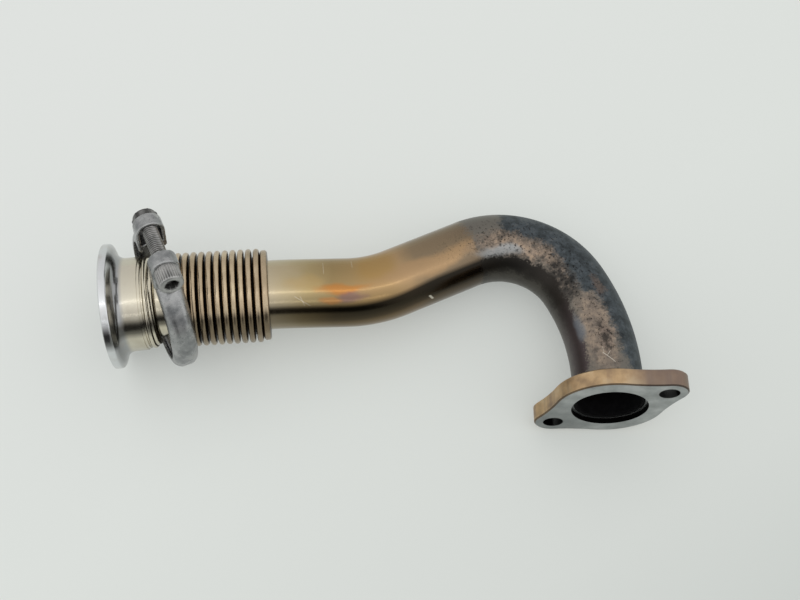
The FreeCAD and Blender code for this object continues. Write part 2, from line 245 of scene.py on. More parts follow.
outer = [tube_ring(place, TUBE_R) for place in line]
inner = [tube_ring(place, TUBE_R - TUBE_WALL) for place in reversed(line)]
tube = skin("bent_tube_skin", outer + inner, close_along=True)
unrolled = tube.data.attributes.new("unrolled", "FLOAT_VECTOR", "POINT")
values = []
for place in line + line[::-1]:
    for side in range(TUBE_SIDES):
        angle = 2 * math.pi * side / TUBE_SIDES
        values.extend((place[2], math.cos(angle), math.sin(angle)))
unrolled.data.foreach_set("vector", values)
for index, polygon in enumerate(tube.data.polygons):
    polygon.material_index = 0 if index < (len(line) - 1) * TUBE_SIDES else 1
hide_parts("bent_tube")
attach(tube, "root")
print("tube skin:", len(line), "rings,", len(tube.data.polygons), "faces")

# %% [markdown]
# The bellows is thin sheet, rolled into narrow waves so that the pipe can flex. From a step
# away it reads as bright round crests with black slots between them. A profile of half
# circles, turned about the bellows axis, gives both. The slots are as deep as real ones, so
# they stay dark from any side, and the black shade that is painted in them later only helps.

# %% Turn a profile about an axis
def frame_about(axis):
    """Two directions square to an axis, the first as near upright as it can be."""
    upright = (Vector((0, 0, 1)) - axis * axis.z).normalized()
    return upright, axis.cross(upright)


def lathe(start, axis, profile, sides):
    """Rings turned about an axis from (distance, radius) points."""
    upright, sideways = frame_about(axis)
    rings = []
    for distance, radius in profile:
        ring = []
        for side in range(sides):
            angle = 2 * math.pi * side / sides
            across = upright * math.cos(angle) + sideways * math.sin(angle)
            ring.append(start + axis * distance + across * radius)
        rings.append(ring)
    return rings


# %% Turn the bellows
WAVES = 11
WAVE_PITCH = 3.56
CREST_R = 21.3
CREST_ROUND = 0.92
CREST_STEPS = 8
ROOT_R = 17.4
ROOT_STEPS = 6
CUFF_R = 16.5
SHEET = 0.4
BELLOWS_SIDES = 144


def bellows_profile():
    """From the right-hand cuff to the left, with rounded crests and roots."""
    slot_round = (WAVE_PITCH - 2 * CREST_ROUND) / 2
    points = [(0, CUFF_R), (-CUFF, CUFF_R)]
    for wave in range(WAVES):
        middle = -CUFF - (wave + 0.5) * WAVE_PITCH
        for step in range(CREST_STEPS + 1):
            angle = math.pi * step / CREST_STEPS
            points.append((
                middle + CREST_ROUND * math.cos(angle),
                CREST_R - CREST_ROUND + CREST_ROUND * math.sin(angle),
            ))
        if wave == WAVES - 1:
            continue
        for step in range(1, ROOT_STEPS):
            angle = math.pi * step / ROOT_STEPS
            points.append((
                middle - WAVE_PITCH / 2 + slot_round * math.cos(angle),
                ROOT_R + slot_round - slot_round * math.sin(angle),
            ))
    left = -CUFF - WAVES * WAVE_PITCH
    points += [(left, CUFF_R), (left - CUFF, CUFF_R)]
    return points


bellows = skin("bellows_skin", lathe(ring_right, bellows_axis, bellows_profile(), BELLOWS_SIDES))
thicken = bellows.modifiers.new("sheet thickness", "SOLIDIFY")
thicken.thickness = SHEET * MM
thicken.offset = -1
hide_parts("bellows")
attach(bellows, "root")
print("bellows:", WAVES, "waves,", len(bellows.data.polygons), "faces")

# %% [markdown]
# The clamp band is formed sheet with folded lugs, and years of handling have rounded its
# edges. Its solid has the right form but knife edges. Remeshing a copy to fine voxels and
# relaxing it rounds every edge at once, which suits a rough pressed part.

# %% Round the clamp band
CLAMP_VOXEL = 0.35
RELAX = 7

band = bpy.data.objects.new("clamp_band_rounded", nodes["clamp_band"].data.copy())
bpy.context.scene.collection.objects.link(band)
band.data.materials.clear()
weld = band.modifiers.new("join split points", "WELD")
weld.merge_threshold = 0.002 * MM
voxels = band.modifiers.new("fine voxels", "REMESH")
voxels.mode = "VOXEL"
voxels.voxel_size = CLAMP_VOXEL * MM
voxels.use_smooth_shade = True
relax = band.modifiers.new("relax the edges", "SMOOTH")
relax.iterations = RELAX
relax.factor = 0.5
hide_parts("clamp_band")
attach(band, "root")
print("clamp band: voxels of", CLAMP_VOXEL, "mm")

# %% [markdown]
# The clamp bolt has a knurled head with a hex socket, and a rolled thread that shows between
# the two lugs. Both are small patterns that run round an axis, so each is a skin of rings
# whose radius changes with the angle: ripples for the knurl, a slanting wave for the thread.
# Both are cut coarser than real ones, which would be too fine to show.

# %% Find the axis of the bolt
HEAD_R = 5.6
HEAD_LENGTH = 8.0
SHANK_R = 3.5
THREAD_PITCH = 1.0
THREAD_DEPTH = 0.55
KNURLS = 30
KNURL_DEPTH = 0.35
SOCKET_FLATS = 5.5
SOCKET_DEPTH = 3.6
POINT_CHAMFER = 0.8
ROWS_A_TURN = 8
BOLT_SIDES = 144


def bolt_axis():
    """The middle of the bolt, in mm, and its axis, pointing to its head."""
    points = points_of("clamp_bolt")
    axis = np.linalg.eigh(np.cov(points.T))[1][:, 2]
    reach = points @ axis
    far = points - np.outer(reach, axis)
    centre_across = (far.max(axis=0) + far.min(axis=0)) / 2
    head_points = points[np.linalg.norm(far - centre_across, axis=1) > (HEAD_R + SHANK_R) / 2]
    middle = (reach.max() + reach.min()) / 2
    if (head_points @ axis).mean() < middle:
        axis, middle = -axis, -middle
    return Vector(centre_across + axis * middle), Vector(axis), (reach.max() - reach.min()) / 2


# %% Radii that change with the angle
def polar_skin(name, centre, axis, rows, sides, smooth_limit=40):
    """A skin whose rows are a distance along the axis and a radius for each angle."""
    upright, sideways = frame_about(axis)
    rings = []
    for distance, radius in rows:
        ring = []
        for side in range(sides):
            angle = 2 * math.pi * side / sides
            across = upright * math.cos(angle) + sideways * math.sin(angle)
            ring.append(centre + axis * distance + across * radius(angle))
        rings.append(ring)
    return skin(name, rings, close_along=True, smooth_limit=smooth_limit)


def hexagon(flats):
    """Six flat sides, this far across."""
    def radius(angle):
        return flats / 2 / math.cos((angle + math.pi / 6) % (math.pi / 3) - math.pi / 6)
    return radius


def circle(radius):
    """The same radius all round."""
    return lambda angle: radius


def knurl(depth):
    """Ripples round the head."""
    return lambda angle: HEAD_R - depth * abs(math.sin(KNURLS * angle / 2))


def thread(distance):
    """A wave that climbs one pitch with each turn."""
    def radius(angle):
        turn = (distance / THREAD_PITCH + angle / (2 * math.pi)) % 1.0
        return SHANK_R - THREAD_DEPTH * abs(2 * turn - 1)
    return radius


# %% Turn the bolt
bolt_centre, bolt_direction, half_length = bolt_axis()
seat = half_length - HEAD_LENGTH
rows = [(-half_length, circle(0.01)), (-half_length, circle(SHANK_R - POINT_CHAMFER))]
thread_rows = round((seat + half_length - POINT_CHAMFER) / (THREAD_PITCH / ROWS_A_TURN))
for index in range(thread_rows + 1):
    distance = -half_length + 0.6 + index * THREAD_PITCH / ROWS_A_TURN
    if distance < seat - 0.2:
        rows.append((distance, thread(distance)))
rows += [
    (seat, circle(SHANK_R)),
    (seat, circle(HEAD_R - 0.3)),
    (seat + 0.3, knurl(KNURL_DEPTH)),
    (half_length - 1.3, knurl(KNURL_DEPTH)),
    (half_length - 0.7, knurl(KNURL_DEPTH / 2)),
    (half_length - 0.25, circle(HEAD_R - 0.3)),
    (half_length, circle(HEAD_R - 0.8)),
    (half_length, circle(SOCKET_FLATS * 0.62)),
    (half_length - 0.4, hexagon(SOCKET_FLATS)),
    (half_length - SOCKET_DEPTH, hexagon(SOCKET_FLATS)),
    (half_length - SOCKET_DEPTH - 0.6, circle(0.01)),
]
bolt = polar_skin("clamp_bolt_threaded", bolt_centre, bolt_direction, rows, BOLT_SIDES, 50)
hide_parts("clamp_bolt")
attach(bolt, "root")
print("bolt:", round(2 * half_length, 1), "mm long")

# %% [markdown]
# The nut is a plain hexagon whose corners were turned round at both ends before it was
# tapped. Holding the hexagon's radius under a limit near each end draws that chamfer.

# %% Turn the nut
NUT_FLATS = 10.0
NUT_SIDES = 96


def hex_with_rounded_corners(cut):
    """A hexagon whose corners reach no further than this past its flats."""
    full = hexagon(NUT_FLATS)
    return lambda angle: min(full(angle), NUT_FLATS / 2 + cut)


nut_reach = (points_of("clamp_nut") - np.array(bolt_centre)) @ np.array(bolt_direction)
nut_near, nut_far = float(nut_reach.max()), float(nut_reach.min())
rows = [
    (nut_near, circle(SHANK_R)),
    (nut_near, hex_with_rounded_corners(0.05)),
    (nut_near - 0.4, hex_with_rounded_corners(0.8)),
    (nut_far + 0.5, hex_with_rounded_corners(0.8)),
    (nut_far, hex_with_rounded_corners(0.05)),
    (nut_far, circle(SHANK_R + 0.4)),
    (nut_far + 0.5, circle(SHANK_R)),
]
nut = polar_skin("clamp_nut_chamfered", bolt_centre, bolt_direction, rows, NUT_SIDES, 30)
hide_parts("clamp_nut")
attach(nut, "root")
print("nut:", round(nut_near - nut_far, 1), "mm thick")

# %% [markdown]
# Heat tint is a film of oxide, thinner than a wavelength of light, that grows on stainless
# steel. Straw comes first, then gold, bronze, purple and blue as the film thickens, and above
# that a grey-black scale. So the tube goes from straw at the bellows to scale at the bend.
# The bands are ramps along the tube, and single stains, painted sheens and a painted
# highlight are soft ellipses on the unrolled sheet. Noise pushes the edges about, because
# no real stain has a clean edge.

# %% Masks on the unrolled sheet
def unrolled_sheet(tree):
    """Millimetres along the tube and degrees round it, from the top towards the outside."""
    stored = add(tree, "Attribute", attribute_name="unrolled")
    parts = add(tree, "SeparateXYZ", {0: stored.outputs["Vector"]})
    round_it = add(tree, "Math", {0: parts.outputs["Z"], 1: parts.outputs["Y"]}, operation="ARCTAN2")
    degrees = add(tree, "Math", {0: round_it, 1: math.degrees(1)}, operation="MULTIPLY")
    return parts.outputs["X"], degrees


def stain(tree, sheet, centre, half, soft=0.45):
    """1 inside an ellipse on the sheet (mm along, degrees round), fading over its rim."""
    away = add(tree, "VectorMath", {0: sheet, 1: (*centre, 0)}, operation="SUBTRACT")
    shaped = add(tree, "VectorMath", {0: away, 1: (*half, 1)}, operation="DIVIDE")
    reach = add(tree, "VectorMath", {0: shaped}, operation="LENGTH")
    return add(
        tree, "MapRange",
        {"Value": reach.outputs["Value"], "From Min": 1 + soft, "From Max": 1 - soft},
        interpolation_type="SMOOTHSTEP",
    )


def scratch(tree, sheet, start, end, width):
    """1 on a straight scratch between two places on the sheet."""
    run = Vector(end) - Vector(start)
    away = add(tree, "VectorMath", {0: sheet, 1: (*start, 0)}, operation="SUBTRACT")
    along = add(tree, "VectorMath", {0: away, 1: (*(run / run.length_squared), 0)}, operation="DOT_PRODUCT")
    held = add(tree, "Clamp", {0: along.outputs["Value"]})
    foot = add(tree, "VectorMath", {0: (*run, 0), "Scale": held.outputs[0]}, operation="SCALE")
    gap = add(tree, "VectorMath", {0: away, 1: foot.outputs["Vector"]}, operation="DISTANCE")
    return add(
        tree, "MapRange",
        {"Value": gap.outputs["Value"], "From Min": width, "From Max": width * 0.4},
    )


def cover(tree, under, mask, colour, strength=1.0):
    """Lays a colour over another where a mask says so."""
    part = add(tree, "Math", {0: mask, 1: strength}, operation="MULTIPLY")
    over = srgb(colour) if isinstance(colour, str) else colour
    return add(tree, "Mix", {FACTOR: part, FIRST: under, SECOND: over}, data_type="RGBA")


def painted_reflection_band(tree, degrees):
    """1 along the low near side of the pipe, where a dark reflection is painted, fading below it."""
    share = add(tree, "MapRange", {"Value": degrees, "From Min": -120.0, "From Max": -40.0})
    return add(tree, "ValToRGB", {0: share}, stops=[
        (0.0, 0.3), (0.25, 0.58), (0.375, 0.68), (0.48, 0.92), (0.6, 1.0), (0.8, 1.0), (0.9, 0.0),
    ]).outputs[0]


# %% [markdown]
# The film comes first, then the grey and worn metal of the bend with a painted sheen, the
# blue-grey scale on its outside, a dark reflection painted along the low side with a second
# painted sheen, and last the pits and scratches. The lines left by the drawing mill are drawn
# about a degree apart, coarser than real ones, so that they show.

# %% Heat-tinted stainless tube
TUBE_LENGTH = 210.0
# Most of these are heat-tint stains. The one at 74 mm is a tan tint lightened as a painted highlight.
TINT_STAINS_AND_HIGHLIGHT = [
    ((17, -14), (7, 14), "#bf9f66", 0.3), ((34, -24), (12, 8), "#b37a40", 0.85),
    ((37, -38), (6, 9), "#7d5f68", 0.6), ((28, -41), (5, 5), "#bb8550", 0.7),
    ((50, 14), (9, 34), "#a8864e", 0.5), ((74, -17), (26, 14), "#a98b68", 0.85),
    ((46, -31), (6, 9), "#a48862", 0.7),
]


def heat_tinted_tube():
    """Bright drawn steel under its film, scale, smoke and marks."""
    material, tree, shader = new_material("heat_tinted_stainless")
    along, round_it = unrolled_sheet(tree)
    place = add(tree, "TexCoord").outputs["Object"]
    flat = add(tree, "CombineXYZ", {0: along, 1: round_it})

    broad = add(tree, "TexNoise", {"Vector": place, "Scale": 1 / (22 * MM), "Detail": 4.0})
    ragged = add(tree, "TexNoise", {"Vector": place, "Scale": 1 / (5 * MM), "Detail": 8.0, "Roughness": 0.62})
    grain = add(tree, "TexNoise", {"Vector": place, "Scale": 1 / (0.9 * MM), "Detail": 5.0, "Roughness": 0.6})
    push = add(tree, "VectorMath", {0: ragged.outputs["Color"], 1: (0.5, 0.5, 0.5)}, operation="SUBTRACT")
    push = add(tree, "VectorMath", {0: push.outputs["Vector"], 1: (9, 34, 0)}, operation="MULTIPLY")
    nudge = add(tree, "VectorMath", {0: grain.outputs["Color"], 1: (0.5, 0.5, 0.5)}, operation="SUBTRACT")
    nudge = add(tree, "VectorMath", {0: nudge.outputs["Vector"], 1: (6, 26, 0)}, operation="MULTIPLY")
    push = add(tree, "VectorMath", {0: push.outputs["Vector"], 1: nudge.outputs["Vector"]}, operation="ADD")
    sheet = add(tree, "VectorMath", {0: flat, 1: push.outputs["Vector"]}, operation="ADD").outputs["Vector"]
    soft_push = add(tree, "VectorMath", {0: broad.outputs["Color"], 1: (0.5, 0.5, 0.5)}, operation="SUBTRACT")
    soft_push = add(tree, "VectorMath", {0: soft_push.outputs["Vector"], 1: (16, 40, 0)}, operation="MULTIPLY")
    soft_sheet = add(tree, "VectorMath", {0: flat, 1: soft_push.outputs["Vector"]}, operation="ADD").outputs["Vector"]
    soft_along = add(tree, "SeparateXYZ", {0: soft_sheet}).outputs["X"]
    share = add(tree, "Math", {0: soft_along, 1: TUBE_LENGTH}, operation="DIVIDE")

    tint = add(tree, "ValToRGB", {0: share}, stops=[
        (0.0, "#bdb096"), (0.04, "#b5a686"), (0.08, "#a8966f"), (0.14, "#9b855e"),
        (0.22, "#a88c62"), (0.29, "#aa8e6a"), (0.34, "#8b7961"), (0.46, "#796a58"),
    ])
    colour = tint
    for centre, half, tone, strength in TINT_STAINS_AND_HIGHLIGHT:
        colour = cover(tree, colour, stain(tree, soft_sheet, centre, half), tone, strength)

    past = add(tree, "SeparateXYZ", {0: sheet})
    grey_start = add(tree, "MapRange", {"Value": past.outputs["X"], "From Min": 96.5, "From Max": 99.5})
    colour = cover(tree, colour, grey_start, "#716d66")
    mottle = add(tree, "TexNoise", {"Vector": place, "Scale": 1 / (4.2 * MM), "Detail": 8.0, "Roughness": 0.7})
    worn_tone = add(tree, "ValToRGB", {0: mottle}, stops=[
        (0.36, "#4b4641"), (0.46, "#75695e"), (0.54, "#8f7f70"), (0.66, "#a8927d"),
    ])
    worn = stain(tree, sheet, (126, -20), (30, 22), 0.35)
    colour = cover(tree, colour, worn, worn_tone, 0.9)
    tan_tone = add(tree, "ValToRGB", {0: mottle}, stops=[
        (0.36, "#645b54"), (0.46, "#83776c"), (0.55, "#958677"), (0.68, "#a99886"),
    ])
    tan = stain(tree, sheet, (188, -14), (22, 27), 0.4)
    colour = cover(tree, colour, tan, tan_tone, 0.9)
    # Painted sheen: a pale grey patch low on the grey part of the bend.
    colour = cover(tree, colour, stain(tree, soft_sheet, (111, -34), (13, 9)), "#999b9b", 0.8)
    dark_tone = add(tree, "ValToRGB", {0: mottle}, stops=[(0.44, "#3b3734"), (0.56, "#7d7067")])
    colour = cover(tree, colour, stain(tree, sheet, (192, -6), (8, 9), 0.35), dark_tone, 0.8)
    burnt_tone = add(tree, "ValToRGB", {0: mottle}, stops=[
        (0.4, "#2b2a29"), (0.52, "#47433f"), (0.62, "#81756a"),
    ])
    burnt = stain(tree, sheet, (155, -32), (13, 18), 0.35)
    colour = cover(tree, colour, burnt, burnt_tone, 0.95)

    share_past = add(tree, "Math", {0: past.outputs["X"], 1: TUBE_LENGTH}, operation="DIVIDE")
    edge = add(tree, "ValToRGB", {0: share_past}, stops=[
        (0.53, 0.5), (0.6, 0.41), (0.66, 0.41), (0.69, 0.37), (0.74, 0.33), (0.79, 0.32), (0.805, 0.5),
        (0.84, 0.56), (0.9, 0.6), (0.95, 0.68), (0.98, 0.82),
    ])
    edge_degrees = add(tree, "MapRange", {"Value": edge, "To Min": -50.0, "To Max": 50.0})
    above = add(tree, "Math", {0: past.outputs["Y"], 1: edge_degrees}, operation="SUBTRACT")
    outside = add(tree, "MapRange", {"Value": above, "From Min": -7.0, "From Max": 7.0})
    scale_start = add(tree, "MapRange", {"Value": past.outputs["X"], "From Min": 111.5, "From Max": 114.0})
    scale = add(tree, "Math", {0: outside, 1: scale_start}, operation="MULTIPLY")
    scale_tone = add(tree, "ValToRGB", {0: mottle}, stops=[
        (0.34, "#363b3e"), (0.46, "#444a4d"), (0.56, "#50575c"), (0.66, "#5f6364"),
    ])
    colour = cover(tree, colour, scale, scale_tone, 0.97)
    colour = cover(tree, colour, stain(tree, sheet, (166, 14), (5, 10)), "#6f625a", 0.7)

    # Painted reflection: a dark band along the low near side, where the dark room would reflect.
    shift = add(tree, "MapRange", {"Value": along, "From Min": 34.0, "From Max": 75.0, "To Max": 9.0})
    low_side = add(tree, "Mix", {FACTOR: grey_start, 2: round_it, 3: past.outputs["Y"]}, data_type="FLOAT")
    low_side = add(tree, "Math", {0: low_side, 1: shift}, operation="SUBTRACT")
    grow = add(tree, "MapRange", {"Value": along, "From Min": 2.0, "From Max": 30.0, "To Min": 0.75})
    under = add(tree, "Math", {0: painted_reflection_band(tree, low_side), 1: grow}, operation="MULTIPLY")
    painted_band_tone = add(tree, "ValToRGB", {0: share_past}, stops=[
        (0.0, "#3d3020"), (0.2, "#2c2a24"), (0.6, "#282624"), (0.78, "#2f2b28"), (0.88, "#504748"),
    ])
    colour = cover(tree, colour, under, painted_band_tone, 0.95)
    # Painted sheen: a blue-grey patch over the dark band near the flange.
    colour = cover(tree, colour, stain(tree, soft_sheet, (182, -45), (7, 9)), "#747a80", 0.65)

    pit_noise = add(tree, "TexNoise", {"Vector": place, "Scale": 1 / (1.3 * MM), "Detail": 6.0, "Roughness": 0.75})
    pit_field = stain(tree, sheet, (148, -6), (62, 34), 0.4)
    pit_level = add(tree, "MapRange", {"Value": pit_noise, "From Min": 0.55, "From Max": 0.62})
    pits = add(tree, "Math", {0: pit_level, 1: pit_field}, operation="MULTIPLY")
    colour = cover(tree, colour, pits, "#2a2827", 0.85)

    marks = None
    for start, end, width in (
        ((199.5, -16), (204.5, 2), 0.24), ((199.3, -14), (196.5, -15), 0.26), ((201, -9), (199, -4), 0.2),
        ((69.5, -72), (71, -82), 0.8), ((12, -34), (19, -50), 0.16), ((14.5, -34), (16.5, -50), 0.12),
        ((25, 30), (25.3, 4), 0.08), ((38.4, 34), (38.6, 16), 0.08),
    ):
        one = scratch(tree, flat, start, end, width)
        marks = one if marks is None else add(tree, "Math", {0: marks, 1: one}, operation="MAXIMUM")
    colour = cover(tree, colour, marks, "#d9d2c4", 0.8)
    tree.links.new(colour.outputs[2], shader.inputs["Base Color"])
    shader.inputs["Metallic"].default_value = 1.0

    rough = add(tree, "MapRange", {"Value": grain, "To Min": 0.14, "To Max": 0.24})
    for mask, level in ((grey_start, 0.4), (scale, 0.52), (pits, 0.8)):
        rough = add(tree, "Mix", {FACTOR: mask, 2: rough, 3: level}, data_type="FLOAT")
    tree.links.new(rough.outputs[0], shader.inputs["Roughness"])

    stretched = add(tree, "Math", {0: along, 1: 0.02}, operation="MULTIPLY")
    lines = add(tree, "CombineXYZ", {0: stretched, 1: round_it})
    drawn = add(tree, "TexNoise", {"Vector": lines, "Scale": 0.9, "Detail": 3.0})
    bump = add(tree, "Bump", {"Height": drawn, "Strength": 0.08, "Distance": 0.05 * MM})
    bump = add(tree, "Bump", {"Height": grain, "Strength": 0.05, "Distance": 0.06 * MM, "Normal": bump})
    depth = add(tree, "Math", {0: 1.0, 1: pits}, operation="SUBTRACT")
    bump = add(tree, "Bump", {"Height": depth, "Strength": 0.5, "Distance": 0.12 * MM, "Normal": bump})
    tree.links.new(bump.outputs[0], shader.inputs["Normal"])
    return material


# %% [markdown]
# The gas has lined every passage with dry carbon, which has almost no colour and no shine.

# %% Soot of the bore
def soot():
    """Dry carbon from the gas, which lines every passage of the pipe."""
    material, tree, shader = new_material("soot")
    place = add(tree, "TexCoord").outputs["Object"]
    cake = add(tree, "TexNoise", {"Vector": place, "Scale": 1 / (2.5 * MM), "Detail": 6.0})
    tone = add(tree, "ValToRGB", {0: cake}, stops=[(0.3, "#050506"), (0.7, "#0f0f10")])
    tree.links.new(tone.outputs[0], shader.inputs["Base Color"])
    bump = add(tree, "Bump", {"Height": cake, "Strength": 0.6, "Distance": 0.2 * MM})
    tree.links.new(bump.outputs[0], shader.inputs["Normal"])
    shader.inputs["Roughness"].default_value = 0.9
    shader.inputs["Specular IOR Level"].default_value = 0.1
    return material


tube.data.materials.append(heat_tinted_tube())
tube.data.materials.append(soot())
print("tube materials:", [material.name for material in tube.data.materials])

# %% [markdown]
# The bellows and its end ring are the same thin stainless, which the heat has tinted straw
# to bronze. The crests are polished by handling, and shade is painted on the rest: brown on
# the flanks and black in the slots, so the colour follows the distance from the axis, which
# these helpers measure.

# %% Measure from an axis
def from_axis(tree, place, start, axis):
    """How far along an axis a point lies, and how far from it, both in mm."""
    away = add(tree, "VectorMath", {0: place, 1: tuple(c * MM for c in start)}, operation="SUBTRACT")
    along = add(tree, "VectorMath", {0: away, 1: tuple(axis)}, operation="DOT_PRODUCT").outputs["Value"]
    foot = add(tree, "VectorMath", {0: tuple(axis), "Scale": along}, operation="SCALE")
    across = add(tree, "VectorMath", {0: away, 1: foot.outputs["Vector"]}, operation="DISTANCE").outputs["Value"]
    along_mm = add(tree, "Math", {0: along, 1: 1 / MM}, operation="MULTIPLY")
    across_mm = add(tree, "Math", {0: across, 1: 1 / MM}, operation="MULTIPLY")
    return along_mm, across_mm


def facing_in(tree, place, start, axis, along):
    """1 on faces that look towards an axis, as the wall of a bore does."""
    foot = add(tree, "VectorMath", {0: tuple(c * MM for c in axis), "Scale": along}, operation="SCALE")
    middle = add(tree, "VectorMath", {0: foot.outputs["Vector"], 1: tuple(c * MM for c in start)}, operation="ADD")
    outward = add(tree, "VectorMath", {0: place, 1: middle.outputs["Vector"]}, operation="SUBTRACT")
    outward = add(tree, "VectorMath", {0: outward.outputs["Vector"]}, operation="NORMALIZE")
    normal = add(tree, "NewGeometry").outputs["True Normal"]
    turned_away = add(tree, "VectorMath", {0: normal, 1: outward.outputs["Vector"]}, operation="DOT_PRODUCT")
    return add(tree, "MapRange", {"Value": turned_away.outputs["Value"], "From Min": -0.4, "From Max": -0.6})


def degrees_round(tree, place, start, axis):
    """Degrees round an axis, counted as on the tube: from the top towards the outside."""
    away = add(tree, "VectorMath", {0: place, 1: tuple(c * MM for c in start)}, operation="SUBTRACT")
    outside = tuple(bend_plane_up.cross(axis))
    high = add(tree, "VectorMath", {0: away, 1: tuple(bend_plane_up)}, operation="DOT_PRODUCT").outputs["Value"]
    wide = add(tree, "VectorMath", {0: away, 1: outside}, operation="DOT_PRODUCT").outputs["Value"]
    turn = add(tree, "Math", {0: wide, 1: high}, operation="ARCTAN2")
    return add(tree, "Math", {0: turn, 1: math.degrees(1)}, operation="MULTIPLY")


# %% [markdown]
# The rolls that formed the sheet left fine rings, drawn coarser than real ones so that they
# show. The dark reflection painted on the low side is the same as on the tube.

# %% Straw-tinted stainless of the bellows
def straw_stainless(name, rim_r):
    """Straw tint on the outermost radius, with shade painted brown just below it and black in the depth."""
    material, tree, shader = new_material(name)
    place = add(tree, "TexCoord").outputs["Object"]
    along, radius = from_axis(tree, place, ring_right, bellows_axis)
    broad = add(tree, "TexNoise", {"Vector": place, "Scale": 1 / (14 * MM), "Detail": 3.0})
    tint = add(tree, "ValToRGB", {0: broad}, stops=[(0.3, "#a19076"), (0.5, "#b7a489"), (0.7, "#cfbd9f")])
    # Painted shade: the flanks below each crest are browner and darker.
    flank_shade = add(tree, "MapRange", {"Value": radius, "From Min": rim_r - 0.08, "From Max": rim_r - 0.6})
    colour = cover(tree, tint, flank_shade, "#6e5a40", 0.75)
    # Painted reflection: the same dark band along the low near side as on the tube.
    under = painted_reflection_band(tree, degrees_round(tree, place, ring_right, bellows_axis))
    colour = cover(tree, colour, under, "#3f3527", 0.65)
    # Painted shade: black in the depth of the slots.
    depth = add(tree, "MapRange", {"Value": radius, "From Min": rim_r - 0.6, "From Max": rim_r - 1.2})
    colour = cover(tree, colour, depth, "#14110d", 0.97)
    tree.links.new(colour.outputs[2], shader.inputs["Base Color"])
    shader.inputs["Metallic"].default_value = 1.0
    grain = add(tree, "TexNoise", {"Vector": place, "Scale": 1 / (1.2 * MM), "Detail": 4.0})
    rough = add(tree, "MapRange", {"Value": grain, "To Min": 0.2, "To Max": 0.38})
    tree.links.new(rough.outputs[0], shader.inputs["Roughness"])
    turned = add(tree, "CombineXYZ", {0: along, 1: radius})
    lines = add(tree, "TexNoise", {"Vector": turned, "Scale": 3.0, "Detail": 2.0})
    bump = add(tree, "Bump", {"Height": lines, "Strength": 0.1, "Distance": 0.05 * MM})
    tree.links.new(bump.outputs[0], shader.inputs["Normal"])
    return material


bellows.data.materials.append(straw_stainless("straw_tinted_crests", CREST_R))


def dress(node, material):
    """Puts a material on the slots of a piece shown by its own solid."""
    for slot in nodes[node].material_slots:
        slot.material = material


ring_reach = points_of("bellows_end_ring") - np.array(ring_left)
ring_across = ring_reach - np.outer(ring_reach @ np.array(bellows_axis), np.array(bellows_axis))
ring_r = float(np.linalg.norm(ring_across, axis=1).max())
dress("bellows_end_ring", straw_stainless("straw_tinted_end_ring", ring_r))
print("end ring radius:", round(ring_r, 2), "mm")

# %% [markdown]
# The neck and the V-flange are turned from stainless bar and left bright. A lathe tool leaves
# rings that are finer than the eye resolves, but they stretch each highlight round the part.
# They are drawn a quarter of a mm apart here, coarser than real ones, so that they show.
# The sleeve and the neck have had a little heat and look champagne, while the rim is plain
# steel grey. A dark reflection is painted as a band along the low near side.

# %% Turned stainless of the neck and the V-flange
v_centre = Vector(mounts["v_flange_bore"]["pos_m"]) / MM
DARK_BAND_MIDDLE = 61.0


def turned_stainless(name, stops, smooth, rough):
    """Bright turned steel, tinted by how far it lies behind the rim."""
    material, tree, shader = new_material(name)
    place = add(tree, "TexCoord").outputs["Object"]
    along, radius = from_axis(tree, place, v_centre, -v_out)
    depth = add(tree, "MapRange", {"Value": along, "From Min": -8.0, "From Max": 24.0})
    tint = add(tree, "ValToRGB", {0: depth}, stops=stops)
    broad = add(tree, "TexNoise", {"Vector": place, "Scale": 1 / (9 * MM), "Detail": 4.0})
    cloud = add(tree, "MapRange", {"Value": broad, "From Min": 0.5, "From Max": 0.75})
    colour = cover(tree, tint, cloud, "#a79c88", 0.35)
    # Painted reflection: a dark band along the low near side, centred this many degrees round.
    degrees = degrees_round(tree, place, v_centre, -v_out)
    off_middle = add(tree, "Math", {0: degrees, 1: DARK_BAND_MIDDLE}, operation="ADD")
    off_middle = add(tree, "Math", {0: off_middle}, operation="ABSOLUTE")
    painted_dark_band = add(tree, "MapRange", {"Value": off_middle, "From Min": 14.0, "From Max": 5.0})
    colour = cover(tree, colour, painted_dark_band, "#45423d", 0.75)
    inside = facing_in(tree, place, v_centre, -v_out, along)
    colour = cover(tree, colour, inside, "#171412")
    tree.links.new(colour.outputs[2], shader.inputs["Base Color"])
    shader.inputs["Metallic"].default_value = 1.0
    grain = add(tree, "TexNoise", {"Vector": place, "Scale": 1 / (0.8 * MM), "Detail": 4.0})
    level = add(tree, "MapRange", {"Value": grain, "To Min": smooth, "To Max": rough})
    level = add(tree, "Mix", {FACTOR: inside, 2: level, 3: 0.85}, data_type="FLOAT")
    tree.links.new(level.outputs[0], shader.inputs["Roughness"])
    rings = add(tree, "CombineXYZ", {0: along, 1: radius})
    lines = add(tree, "TexNoise", {"Vector": rings, "Scale": 4.0, "Detail": 3.0})
    bump = add(tree, "Bump", {"Height": lines, "Strength": 0.12, "Distance": 0.04 * MM})
    tree.links.new(bump.outputs[0], shader.inputs["Normal"])
    return material


bright = turned_stainless("turned_stainless_bright", [
    (0.0, "#d8dadb"), (0.14, "#d4d6d7"), (0.18, "#969797"),
    (0.27, "#a5a6a6"), (0.33, "#cdc7b7"), (1.0, "#d1c9b3"),
], 0.14, 0.26)
dress("v_flange", bright)
dress("neck_tube", bright)
print(bright.name, "has", len(bright.node_tree.nodes), "nodes")
